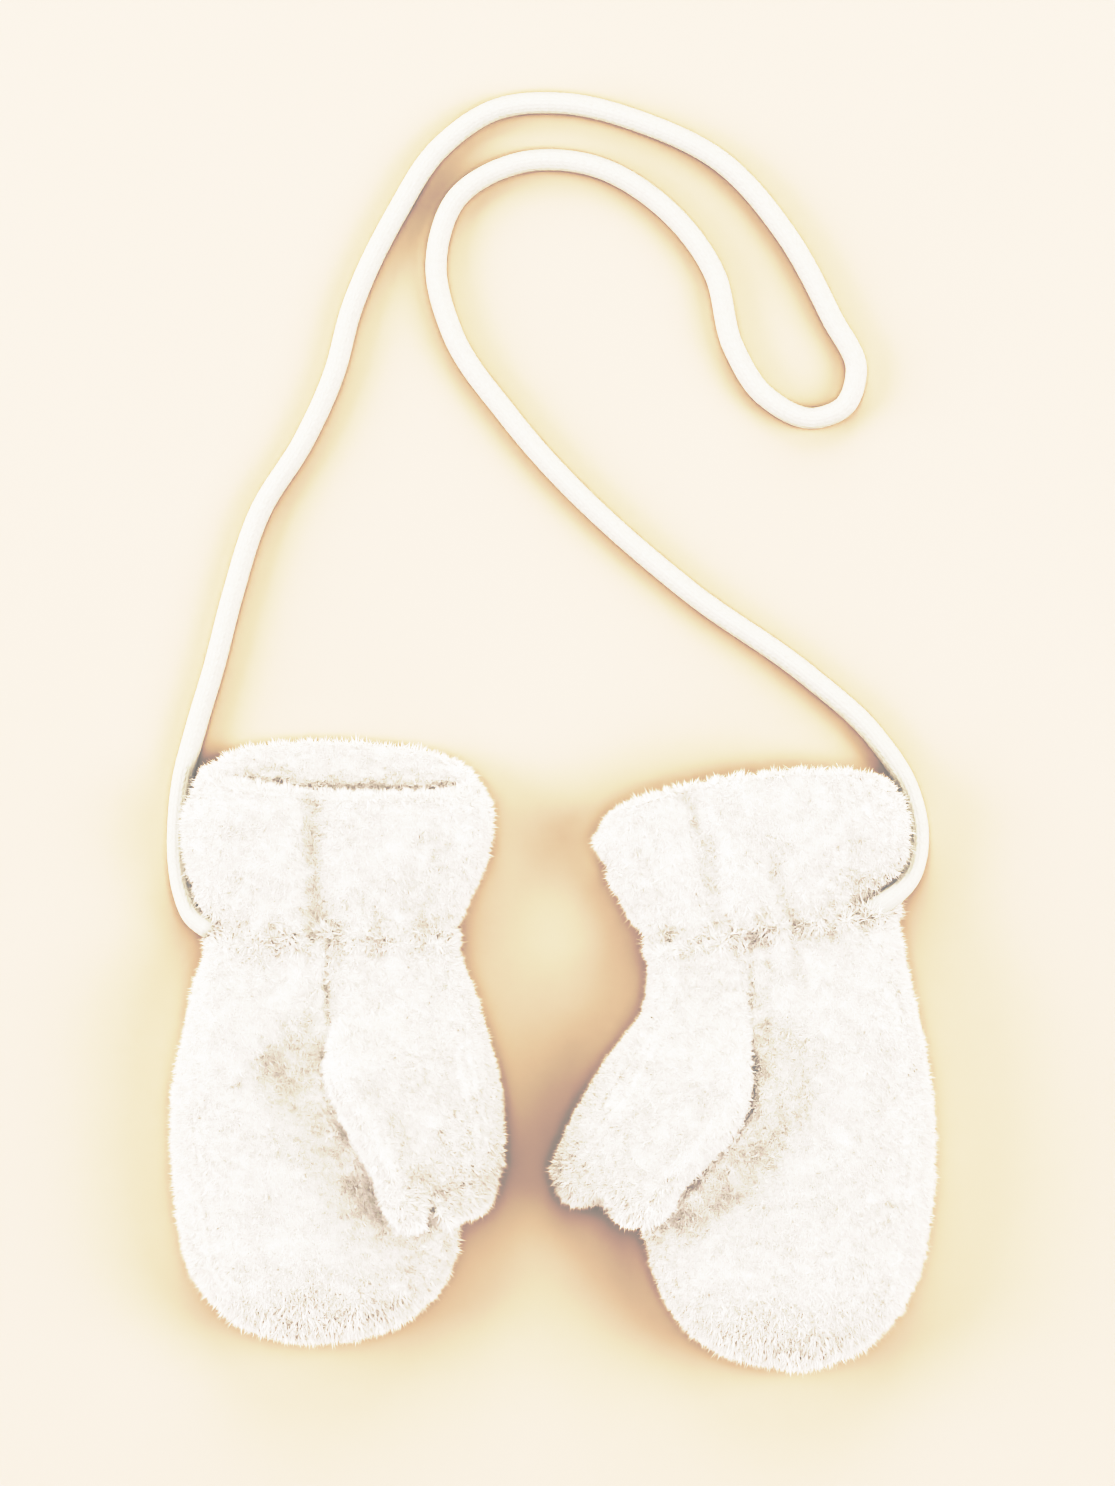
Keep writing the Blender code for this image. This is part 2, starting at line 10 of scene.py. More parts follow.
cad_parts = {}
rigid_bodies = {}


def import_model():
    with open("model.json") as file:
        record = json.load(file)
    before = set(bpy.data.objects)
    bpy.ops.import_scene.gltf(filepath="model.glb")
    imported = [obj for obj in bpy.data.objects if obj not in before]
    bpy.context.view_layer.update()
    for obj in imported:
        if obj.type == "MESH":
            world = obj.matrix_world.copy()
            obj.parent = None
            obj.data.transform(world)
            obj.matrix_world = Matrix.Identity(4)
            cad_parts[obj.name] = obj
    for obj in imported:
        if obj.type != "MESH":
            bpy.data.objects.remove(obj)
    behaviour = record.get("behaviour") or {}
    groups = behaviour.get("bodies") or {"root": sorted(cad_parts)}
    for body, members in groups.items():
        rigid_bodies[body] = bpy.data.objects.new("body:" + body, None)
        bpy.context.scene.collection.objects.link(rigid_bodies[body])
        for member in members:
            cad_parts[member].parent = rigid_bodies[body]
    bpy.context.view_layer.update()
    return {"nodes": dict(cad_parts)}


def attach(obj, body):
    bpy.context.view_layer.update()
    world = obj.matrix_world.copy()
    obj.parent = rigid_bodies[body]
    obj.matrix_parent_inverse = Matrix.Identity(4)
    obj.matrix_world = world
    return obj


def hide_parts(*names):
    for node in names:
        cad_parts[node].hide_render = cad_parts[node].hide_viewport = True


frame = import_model()
mm = 0.001    # lengths without it are in metres


def placed(name, data):
    thing = bpy.data.objects.new(name, data)
    bpy.context.scene.collection.objects.link(thing)
    return thing


view = {
    "middle": (0.00106, 0.0665),    # of what is seen
    "level": 0.010,                 # at which the width seen is measured
    "distance": 0.90,
    "widthSeen": 0.2373,
    "sensorWidth": 36.0,            # in mm
    "farthest": 20.0,
}


def makeCamera():
    data = bpy.data.cameras.new("topCamera")
    data.sensor_fit = "HORIZONTAL"
    data.sensor_width = view["sensorWidth"]
    data.lens = view["sensorWidth"] * view["distance"] / view["widthSeen"]
    data.clip_end = view["farthest"]
    camera = placed("topCamera", data)
    camera.location = (*view["middle"], view["level"] + view["distance"])
    bpy.context.scene.camera = camera


makeCamera()
print("camera placed")


def nodeOf(tree, kind, inputs=None, **settings):
    # a node with its settings and its plain or linked inputs
    node = tree.nodes.new(kind)
    for key, value in settings.items():
        setattr(node, key, value)
    for key, value in (inputs or {}).items():
        if isinstance(value, bpy.types.NodeSocket):
            tree.links.new(value, node.inputs[key])
        else:
            node.inputs[key].default_value = value
    return node


def mathNode(tree, operation, *values):
    return nodeOf(tree, "ShaderNodeMath", dict(enumerate(values)), operation=operation).outputs[0]


def groupWith(kind, name, sockets):
    # a node group and its two ends; each socket is (name, "INPUT" or "OUTPUT", type, value)
    group = bpy.data.node_groups.new(name, kind)
    for label, side, socketType, value in sockets:
        socket = group.interface.new_socket(label, in_out=side, socket_type=socketType)
        if value is not None:
            socket.default_value = value
    return group, group.nodes.new("NodeGroupInput"), group.nodes.new("NodeGroupOutput")


def knitGroup():
    # columns of V stitches, in a space where each stitch is one unit wide and one high
    group, given, out = groupWith("ShaderNodeTree", "knitStitches", [
        ("Place", "INPUT", "NodeSocketVector", None),
        ("Slant", "INPUT", "NodeSocketFloat", 0.5),
        ("Height", "OUTPUT", "NodeSocketFloat", None),
    ])
    parts = nodeOf(group, "ShaderNodeSeparateXYZ", {0: given.outputs["Place"]})
    across = mathNode(group, "FRACT", parts.outputs[0])
    side = mathNode(group, "ABSOLUTE", mathNode(group, "SUBTRACT", across, 0.5))
    leg = mathNode(group, "FRACT",
                   mathNode(group, "MULTIPLY_ADD", side, given.outputs["Slant"], parts.outputs[1]))
    legBulge = mathNode(group, "SINE", mathNode(group, "MULTIPLY", leg, math.pi))
    halfColumn = mathNode(group, "FRACT", mathNode(group, "MULTIPLY", across, 2.0))
    columnBulge = mathNode(group, "SINE", mathNode(group, "MULTIPLY", halfColumn, math.pi))
    height = mathNode(group, "MULTIPLY",
                      mathNode(group, "SQRT", legBulge), mathNode(group, "SQRT", columnBulge))
    group.links.new(height, out.inputs["Height"])
    return group


def mottleGroup():
    # soft unevenness of a pile or yarn, from a base colour to a deeper one
    group, given, out = groupWith("ShaderNodeTree", "softMottle", [
        ("Place", "INPUT", "NodeSocketVector", None),
        ("Base", "INPUT", "NodeSocketColor", (0.9, 0.9, 0.9, 1.0)),
        ("Deep", "INPUT", "NodeSocketColor", (0.8, 0.78, 0.74, 1.0)),
        ("Scale", "INPUT", "NodeSocketFloat", 200.0),
        ("Amount", "INPUT", "NodeSocketFloat", 0.5),
        ("Color", "OUTPUT", "NodeSocketColor", None),
    ])
    cloud = nodeOf(group, "ShaderNodeTexNoise", {
        "Vector": given.outputs["Place"], "Scale": given.outputs["Scale"], "Detail": 3.0, "Roughness": 0.6})
    spread = nodeOf(group, "ShaderNodeMapRange", {
        "Value": cloud.outputs[0], "From Min": 0.3, "From Max": 0.7})
    share = mathNode(group, "MULTIPLY", spread.outputs[0], given.outputs["Amount"])
    mix = nodeOf(group, "ShaderNodeMix", {
        "Factor": share, "A": given.outputs["Base"], "B": given.outputs["Deep"]}, data_type="RGBA")
    group.links.new(mix.outputs["Result"], out.inputs["Color"])
    return group


stitches = knitGroup()
mottle = mottleGroup()


def makeMaterial(name, look):
    # a mottled finish, with knit stitches along the piece's UV map where the look has them
    material = bpy.data.materials.new(name)
    material.use_nodes = True
    tree = material.node_tree
    shader = tree.nodes["Principled BSDF"]
    for key, value in look["shader"].items():
        shader.inputs[key].default_value = value
    spots = nodeOf(tree, "ShaderNodeTexCoord").outputs["Object"]
    tone = nodeOf(tree, "ShaderNodeGroup", {
        "Place": spots, "Base": (*look["base"], 1.0), "Deep": (*look["deep"], 1.0),
        "Scale": look["mottleScale"], "Amount": look["mottleAmount"]}, node_tree=mottle)
    tree.links.new(tone.outputs["Color"], shader.inputs["Base Color"])
    if "stitchSlant" in look:
        place = nodeOf(tree, "ShaderNodeUVMap", uv_map="stitch").outputs[0]
        knit = nodeOf(tree, "ShaderNodeGroup", {
            "Place": place, "Slant": look["stitchSlant"]}, node_tree=stitches)
        bump = nodeOf(tree, "ShaderNodeBump", {
            "Strength": look["bumpStrength"], "Distance": look["bumpDepth"],
            "Height": knit.outputs["Height"]})
        tree.links.new(bump.outputs["Normal"], shader.inputs["Normal"])
    return material


cordFacts = {
    "radius": 0.0023,
    "step": 0.0011,          # between the tube's rings
    "sides": 20,
    "flattening": 0.45,      # of the underside, 1 for none
    "tip": 0.5,              # how far the closed ends stand out, in radii
    "columns": 8,            # stitches round the cord
    "stitchLength": 0.0016,
    "route": [
        (-0.0730, 0.0266, 0.0078), (-0.0769, 0.0296, 0.0060), (-0.0791, 0.0346, 0.0043),
        (-0.0803, 0.0410, 0.0028), (-0.0804, 0.0490, 0.0023), (-0.0794, 0.0585, 0.0023),
        (-0.0766, 0.0695, 0.0023), (-0.0726, 0.0830, 0.0023), (-0.0686, 0.0985, 0.0023),
        (-0.0626, 0.1165, 0.0023), (-0.0536, 0.1310, 0.0023), (-0.0470, 0.1455, 0.0023),
        (-0.0430, 0.1600, 0.0023), (-0.0336, 0.1800, 0.0023), (-0.0244, 0.1940, 0.0023),
        (-0.0120, 0.2025, 0.0023), (0.0020, 0.2038, 0.0023), (0.0194, 0.1996, 0.0023),
        (0.0360, 0.1914, 0.0023), (0.0500, 0.1758, 0.0023), (0.0600, 0.1576, 0.0023),
        (0.0652, 0.1464, 0.0023), (0.0626, 0.1388, 0.0023), (0.0562, 0.1362, 0.0023),
        (0.0454, 0.1412, 0.0023), (0.0388, 0.1515, 0.0023), (0.0346, 0.1676, 0.0023),
        (0.0238, 0.1816, 0.0023), (0.0080, 0.1906, 0.0023), (-0.0080, 0.1908, 0.0023),
        (-0.0206, 0.1834, 0.0023), (-0.0250, 0.1700, 0.0023), (-0.0214, 0.1542, 0.0023),
        (-0.0092, 0.1364, 0.0023), (0.0294, 0.0990, 0.0023), (0.0548, 0.0810, 0.0023),
        (0.0686, 0.0686, 0.0023), (0.0766, 0.0560, 0.0023), (0.0785, 0.0460, 0.0025),
        (0.0762, 0.0376, 0.0062), (0.0702, 0.0324, 0.0094), (0.0664, 0.0304, 0.0078),
    ],
    "look": {
        "shader": {"Roughness": 0.85, "Sheen Weight": 0.2, "Sheen Roughness": 0.5, "Specular IOR Level": 0.3},
        "base": (0.66, 0.665, 0.635),
        "deep": (0.62, 0.62, 0.58),
        "mottleScale": 900.0,
        "mottleAmount": 0.6,
        "stitchSlant": 1.0,
        "bumpStrength": 0.35,
        "bumpDepth": 0.0004,
    },
}


def smoothLine(route, step):
    # points at even steps on a smooth curve through the route
    places = np.array(route)
    chords = np.linalg.norm(np.diff(places, axis=0), axis=1)
    at = np.concatenate([[0.0], np.cumsum(chords)])
    slopes = np.gradient(places, at, axis=0, edge_order=1)
    line = []
    for place in np.linspace(0.0, at[-1], round(at[-1] / step) + 1):
        k = min(int(np.searchsorted(at, place, side="right")) - 1, len(at) - 2)
        length = at[k + 1] - at[k]
        f = (place - at[k]) / length
        begin = (1 + 2 * f) * (1 - f) ** 2 * places[k] + f * (1 - f) ** 2 * length * slopes[k]
        end = f * f * (3 - 2 * f) * places[k + 1] + f * f * (f - 1) * length * slopes[k + 1]
        line.append(begin + end)
    return np.array(line)


def meshObject(name, verts, faces, material):
    mesh = bpy.data.meshes.new(name)
    mesh.from_pydata([tuple(v) for v in verts], [], faces)
    mesh.update()
    mesh.materials.append(material)
    return placed(name, mesh)


def makeCord():
    facts = cordFacts
    line = smoothLine(facts["route"], facts["step"])
    line[:, 2] = np.maximum(line[:, 2], facts["radius"])
    ahead = np.gradient(line, axis=0)
    ahead /= np.linalg.norm(ahead, axis=1, keepdims=True)
    run = np.concatenate([[0.0], np.cumsum(np.linalg.norm(np.diff(line, axis=0), axis=1))])
    sides = facts["sides"]
    verts = []
    for point, forward in zip(line, ahead):
        side = np.cross(forward, (0.0, 0.0, 1.0))
        side /= np.linalg.norm(side)
        up = np.cross(side, forward)
        for i in range(sides):
            turn = 2 * math.pi * i / sides
            across, above = math.cos(turn), math.sin(turn)
            if above < 0:    # soft, so its underside is a little flattened
                across = math.copysign(abs(across) ** facts["flattening"], across)
            verts.append(point + facts["radius"] * (side * across + up * above))
    faces = []
    spots = []
    for k in range(len(line) - 1):
        low, high = run[k] / facts["stitchLength"], run[k + 1] / facts["stitchLength"]
        for i in range(sides):
            j = (i + 1) % sides
            faces.append((k * sides + i, k * sides + j, (k + 1) * sides + j, (k + 1) * sides + i))
            left, right = i * facts["columns"] / sides, (i + 1) * facts["columns"] / sides
            spots += [(left, low), (right, low), (right, high), (left, high)]
    for k, reverse in ((0, True), (len(line) - 1, False)):
        ring = [k * sides + i for i in range(sides)]
        verts.append(line[k] + ahead[k] * facts["radius"] * (-facts["tip"] if reverse else facts["tip"]))
        tip = len(verts) - 1
        for i in range(sides):
            j = (i + 1) % sides
            faces.append((tip, ring[j], ring[i]) if reverse else (tip, ring[i], ring[j]))
            spots += [(0.0, 0.0)] * 3
    piece = meshObject("knitted_cord", verts, faces, makeMaterial("ivoryCordKnit", facts["look"]))
    layer = piece.data.uv_layers.new(name="stitch")
    layer.data.foreach_set("uv", np.array(spots).ravel())
    shape = bmesh.new()
    shape.from_mesh(piece.data)
    bmesh.ops.recalc_face_normals(shape, faces=shape.faces)
    shape.to_mesh(piece.data)
    shape.free()
    piece.data.shade_smooth()
    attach(piece, "root")
    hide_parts("cord")
    return float(run[-1])


cordLength = makeCord()
print("cord", round(cordLength, 4), "m")


pieces = {
    # the ends of each tube's middle line and its flat size are in mm, and a cuff's end is its mouth;
    # "sparse" is for the spacing of its tufts, "joins" are sewn to it end to end, "beside" lies against it;
    # "swelling" is the most in mm that a ridge lifts it, because the large ridges are for the hands
    "left_cuff": {
        "start": (-47.0, 24.6), "end": (-45.0, 62.0), "flat": (142.0, 37.5), "mouth": True, "sparse": 1.0,
        "joins": ("left_hand", "left_thumb"), "beside": (),
    },
    "left_hand": {
        "start": (-61.0, 24.6), "end": (-52.0, -62.0), "flat": (142.0, 87.0), "mouth": False, "sparse": 1.0,
        "joins": ("left_cuff",), "beside": ("left_thumb",),
    },
    "left_thumb": {
        "start": (-33.0, 24.6), "end": (-21.0, -36.0), "flat": (92.0, 62.0), "mouth": False, "sparse": 0.95,
        "joins": ("left_cuff",), "beside": ("left_hand",), "swelling": 2.8,
    },
    "right_cuff": {
        "start": (46.6, 26.7), "end": (40.5, 62.0), "flat": (142.0, 36.0), "mouth": True, "sparse": 1.0,
        "joins": ("right_hand", "right_thumb"), "beside": (),
    },
    "right_hand": {
        "start": (58.0, 28.6), "end": (49.0, -67.0), "flat": (142.0, 96.0), "mouth": False, "sparse": 1.0,
        "joins": ("right_cuff",), "beside": ("right_thumb",),
    },
    "right_thumb": {
        "start": (31.0, 24.1), "end": (8.5, -36.0), "flat": (92.0, 64.0), "mouth": False, "sparse": 0.95,
        "joins": ("right_cuff",), "beside": ("right_hand",), "swelling": 0.8,
    },
}

# by mitten and by upper (1) or under (-1) face: from one end to the other in mm, how wide and how deep;
# a ridge has a depth below 0
creases = {
    "left": {
        1: [
            (-50.9, 56.0, -51.4, 26.0, 1.8, 0.48), (-51.2, 24.0, -48.6, 10.0, 1.6, 0.3),
            (-51.7, 46.5, -51.3, 42.5, 1.7, 0.54), (-51.3, 35.5, -51.0, 31.0, 1.7, 0.6),
            (-48.5, 1.0, -40.5, -20.0, 5.0, -5.0), (-42.0, -15.0, -32.0, -35.0, 4.2, -7.0),
            (-43.0, -26.0, -39.0, -34.0, 3.2, -1.2), (-28.5, -35.4, -23.0, -35.4, 2.6, -3.0),
            (-49.2, 22.0, -48.2, 5.0, 2.2, -1.2),
            (-63.7, 32.7, -52.4, 33.6, 1.5, 0.42), (-69.1, 43.5, -55.6, 41.8, 1.7, 0.3),
            (-41.6, 34.8, -39.9, 32.2, 1.9, 0.54), (-31.5, 32.8, -29.4, 30.0, 1.7, 0.48),
            (-65.8, 30.8, -66.6, 22.9, 1.7, 0.6), (-59.4, 28.9, -58.7, 20.6, 1.8, 0.54),
            (-46.0, 31.0, -44.9, 22.8, 1.8, 0.6), (-37.3, 29.2, -36.0, 20.2, 1.7, 0.54),
            (-27.4, 31.2, -27.9, 24.4, 1.6, 0.54), (-62.4, 29.0, -62.6, 24.0, 1.6, -0.5),
            (-41.0, 29.6, -40.6, 22.0, 2.4, -0.6), (-32.2, 28.4, -32.0, 23.2, 2.1, -0.6),
            (-67.4, 6.9, -61.8, 7.8, 1.4, 0.42), (-64.6, 16.9, -63.7, 11.4, 1.2, 0.36),
            (-58.5, 5.4, -54.5, 4.8, 3.0, 0.6), (-63.7, -21.6, -50.8, -21.2, 2.0, 0.3),
            (-72.4, -12.8, -67.6, -20.4, 1.5, 0.3), (-70.4, -2.6, -67.2, -8.6, 1.3, 0.24),
            (-57.0, -6.0, -53.5, -14.0, 3.0, 0.42), (-40.0, -44.0, -33.5, -46.0, 1.6, 0.3),
        ],
        -1: [
            (-64.0, 32.0, -64.8, 21.0, 1.9, 1.3), (-56.4, 30.0, -55.6, 19.6, 1.8, 1.0),
            (-44.2, 33.0, -43.4, 22.0, 2.0, 1.3), (-33.0, 30.4, -33.6, 21.8, 1.8, 1.2),
            (-60.0, 45.0, -50.5, 43.4, 1.7, 0.6), (-38.0, 41.2, -31.0, 39.8, 1.6, 0.6),
            (-68.0, -8.0, -60.5, -12.6, 1.8, 0.7), (-55.0, -30.0, -46.0, -28.4, 2.2, 0.6),
        ],
    },
    "right": {
        1: [
            (45.8, 41.5, 50.4, 29.0, 1.8, 0.78), (50.4, 29.0, 51.6, 20.0, 1.6, 0.6),
            (29.6, 52.5, 33.4, 43.0, 1.8, 0.6), (33.4, 43.0, 34.4, 32.0, 1.8, 0.72),
            (45.5, 8.0, 45.0, -9.0, 4.5, -4.2), (44.5, -9.0, 35.5, -21.0, 4.5, -4.6),
            (34.0, -23.0, 21.0, -34.5, 4.5, -5.0), (42.6, 23.0, 43.4, -10.0, 2.2, -1.3),
            (28.6, 55.4, 29.9, 51.8, 1.9, 0.6), (16.8, 43.4, 19.4, 41.6, 1.7, 0.48),
            (25.0, 36.7, 33.1, 31.6, 1.6, 0.48), (51.4, 21.4, 53.5, 13.8, 1.7, 0.48),
            (19.6, 22.8, 27.6, 26.6, 1.5, 0.24), (29.0, 26.4, 37.4, 24.8, 1.5, 0.24),
            (24.2, 30.4, 25.6, 20.8, 1.7, 0.36), (36.4, 31.8, 37.4, 23.0, 1.8, 0.42),
            (43.6, 33.4, 44.6, 22.0, 1.9, 0.42), (58.8, 35.2, 59.8, 25.0, 1.9, 0.48),
            (64.8, 33.4, 66.0, 26.8, 1.7, 0.54), (47.6, 31.0, 48.4, 22.6, 2.3, -0.6),
            (62.2, 33.0, 62.8, 24.0, 2.2, -0.6), (30.8, 31.0, 31.4, 22.8, 2.2, -0.6),
            (40.1, -42.2, 45.2, -45.2, 2.2, 0.48), (66.4, 4.6, 69.4, -13.6, 3.0, 0.3),
            (46.0, 8.6, 45.6, -6.0, 1.6, 0.3), (57.6, 9.0, 55.4, -4.0, 1.5, 0.24),
            (56.0, -26.0, 64.6, -28.8, 2.0, 0.24), (15.8, -9.6, 22.4, -12.0, 1.5, 0.24),
        ],
        -1: [
            (30.0, 33.0, 31.2, 21.4, 1.9, 1.3), (41.8, 34.6, 42.6, 23.4, 2.0, 1.2),
            (53.0, 36.0, 54.2, 24.8, 1.9, 1.3), (61.6, 35.0, 62.2, 26.2, 1.8, 1.0),
            (34.0, 47.2, 43.4, 45.0, 1.7, 0.6), (55.0, 46.6, 62.4, 48.2, 1.6, 0.6),
            (44.6, -10.0, 52.2, -14.4, 1.9, 0.7), (55.0, -38.0, 63.0, -34.6, 2.2, 0.6),
        ],
    },
}

# swellings and nicks of the outline, in mm: x, y, how wide, how far out
outlines = {
    "left": [
        (-75.5, 47.0, 11.0, 2.0), (-74.6, 60.4, 3.4, 1.5), (-74.0, 33.0, 4.5, 1.1),
        (-13.0, 36.5, 2.2, -0.5), (-82.0, -8.0, 3.0, 0.4), (-80.6, -22.0, 2.2, -0.4),
        (-66.0, -56.0, 2.4, 0.4), (-40.0, -59.5, 2.0, -0.4), (-10.6, -24.0, 2.0, 0.5),
        (-9.6, -13.0, 2.4, -0.3), (-25.6, -34.6, 2.8, 1.8), (-18.4, -34.0, 1.6, -0.7),
    ],
    "right": [
        (8.6, 45.4, 3.2, 1.6), (10.4, 39.6, 1.7, -1.0), (11.6, 36.6, 2.0, 0.8),
        (13.4, 31.4, 1.6, -0.5), (15.0, 27.4, 2.0, 0.5), (73.0, 46.5, 11.5, 3.6),
        (28.0, 57.0, 2.4, 0.5), (44.0, 61.6, 2.6, 0.5), (0.4, -24.0, 2.2, 0.6),
        (3.0, -30.4, 1.8, 0.4), (14.6, -34.8, 2.0, 0.5), (20.0, -33.0, 1.4, -0.4),
        (81.6, -12.0, 3.0, 0.4), (79.0, -34.0, 2.4, -0.4), (30.0, -56.0, 2.4, 0.4),
        (52.0, -67.6, 2.4, 0.4),
    ],
}

clothFacts = {
    "weld": 1e-6,
    "squareAngle": 70.0,                  # degrees, up to which two triangles make one face
    "rimAngle": 50.0,                     # degrees at which an open end's edge is told from the cloth
    "levels": 2,                          # of subdivision
    "window": 0.004,                      # in which the tube's width is measured
    "windows": 24,
    "narrowest": 0.55,                    # a closed end's width, of the widest place's
    "sideRadius": 8.0 * mm,               # of a lying tube's rounded sides
    "flatLeast": 0.002,                   # between those sides
    "underTurn": 2.4,                     # radians, past which a point is well on the underside
    "layLeast": 0.5,                      # so that the pile stands up on the mouth's rim
    "stitchWidth": 1.5 * mm,
    "stitchHeight": 1.2 * mm,
    "pileDepth": 1.5 * mm,                # how far the knit lies under the ends of the pile
    "underShare": 0.25,                   # of that depth and of the pile on the underside
    "underTilt": (-0.9, -0.2),
    "sewn": (0.6 * mm, 1.5 * mm),         # gap to the next piece: joined to it, free of it
    "nearSeam": (0.8 * mm, 3.0 * mm),
    "seamShallower": 0.6,
    "stretch": 1.2,                       # of a sewn edge, in mm
    "rimFade": (0.012, 0.006),            # from the mouth, where the knit keeps its length
    "pressed": (1.2 * mm, 4.5 * mm),      # gap to the piece beside: against it, free of it
    "beneath": (0.3 * mm, 1.5 * mm),      # how far that piece lies above
    "crotch": (-8.0 * mm, 0.0),           # where, along Y, the thumb parts from the hand
    "filled": (1.2 * mm, 3.6 * mm),       # gaps beside the thumb that the knit closes
    "overlap": 0.8 * mm,
    "room": 6.0 * mm,                     # for a ridge where no piece lies above it
    "facing": (0.1, 0.5),                 # how far a face turns up or down to take a crease
    "creaseFade": (0.55, 0.45),           # a crease's depth at its ends, and what its middle adds
    "unevenness": 0.35,                   # in mm
    "unevenScale": 130,
    "floorGap": 0.0003,
    "mostOfCut": 0.98,                    # of the flat rectangle, at the most
    "look": {
        "shader": {"Roughness": 0.95, "Sheen Weight": 0.2, "Sheen Roughness": 0.6},
        "base": (0.985, 0.975, 0.955),
        "deep": (0.96, 0.95, 0.925),
        "mottleScale": 350.0,
        "mottleAmount": 0.7,
        "stitchSlant": 0.8,
        "bumpStrength": 0.5,
        "bumpDepth": 0.0005,
    },
}


def solidsOf(names):
    trees = []
    for name in names:
        mesh = frame["nodes"][name].data
        trees.append(BVHTree.FromPolygons([tuple(v.co) for v in mesh.vertices],
                                          [tuple(face.vertices) for face in mesh.polygons]))
    return trees


def nearest(point, trees):
    # the nearest place on any of the solids, and how far it is
    best = (Vector(point), 1.0)
    for tree in trees:
        place, _, _, distance = tree.find_nearest(point, best[1])
        if place is not None and distance < best[1]:
            best = (place, distance)
    return best


def skinsOf(shape):
    # the number of the skin that each face is in, parted at sharp edges, and the skins' areas
    sharp = math.radians(clothFacts["rimAngle"])
    skin = {}
    areas = []
    for face in shape.faces:
        if face in skin:
            continue
        number = len(areas)
        skin[face] = number
        stack = [face]
        area = 0.0
        while stack:
            current = stack.pop()
            area += current.calc_area()
            for edge in current.edges:
                if len(edge.link_faces) != 2 or edge.calc_face_angle(0.0) > sharp:
                    continue
                for other in edge.link_faces:
                    if other not in skin:
                        skin[other] = number
                        stack.append(other)
        areas.append(area)
    return skin, areas


def weldedCopy(nodeName):
    # the node's solid as one mesh of mostly four-sided faces, with its outer skin marked
    shape = bmesh.new()
    shape.from_mesh(frame["nodes"][nodeName].data)
    bmesh.ops.remove_doubles(shape, verts=shape.verts, dist=clothFacts["weld"])
    limit = math.radians(clothFacts["squareAngle"])
    bmesh.ops.join_triangles(shape, faces=shape.faces, angle_face_threshold=limit,
                             angle_shape_threshold=limit)
    bmesh.ops.recalc_face_normals(shape, faces=shape.faces)
    skin, areas = skinsOf(shape)
    outer = areas.index(max(areas))
    print(nodeName, "outer skin", round(max(areas) * 1e4, 1), "cm2, faces", len(shape.faces))
    crease = shape.edges.layers.float.new("crease_edge")
    solids = solidsOf(pieces[nodeName]["joins"])
    for edge in shape.edges:
        if len({skin[face] for face in edge.link_faces}) > 1:    # sharp only where it is sewn
            middle = (edge.verts[0].co + edge.verts[1].co) / 2
            edge[crease] = 1.0 if nearest(middle, solids)[1] < clothFacts["sewn"][0] else 0.0
    mark = shape.verts.layers.float.new("outside")
    for vert in shape.verts:
        vert[mark] = 1.0 if any(skin[face] == outer for face in vert.link_faces) else 0.0
    mesh = bpy.data.meshes.new(nodeName + "_knit")
    shape.to_mesh(mesh)
    shape.free()
    return mesh


def finished(holder):
    # the holder's mesh after its modifier, in place of the holder
    mesh = bpy.data.meshes.new_from_object(holder.evaluated_get(bpy.context.evaluated_depsgraph_get()))
    base = holder.data
    bpy.data.objects.remove(holder)
    bpy.data.meshes.remove(base)
    return mesh


def smoothed(mesh, levels):
    holder = placed(mesh.name, mesh)
    modifier = holder.modifiers.new("smooth", "SUBSURF")
    modifier.levels = levels
    modifier.render_levels = levels
    return finished(holder)


def readVectors(rows, key):
    values = np.empty(len(rows) * 3)
    rows.foreach_get(key, values)
    return values.reshape(-1, 3)


def readFloats(mesh, name):
    values = np.empty(len(mesh.vertices))
    mesh.attributes[name].data.foreach_get("value", values)
    return values


def writeRows(mesh, name, values):
    # an attribute with a number or a vector for each vertex
    kind, key = ("FLOAT", "value") if values.ndim == 1 else ("FLOAT_VECTOR", "vector")
    layer = mesh.attributes.new(name, kind, "POINT")
    layer.data.foreach_set(key, values.astype(np.float32).ravel())


def rise(values, low, high):
    f = np.clip((values - low) / (high - low), 0.0, 1.0)
    return f * f * (3 - 2 * f)


def nearEnd(along, length, fade):
    # rises over the tube's last stretch, between two distances from its end
    return rise(along, length - fade[0], length - fade[1])


def lessBelow(normal, tilt):
    # 1 on the upper face, and less on the underside
    share = clothFacts["underShare"]
    return share + (1 - share) * rise(normal[:, 2], *tilt)


def noiseAt(co, scale):
    return np.array([noise.noise(Vector(point) * scale) for point in co])


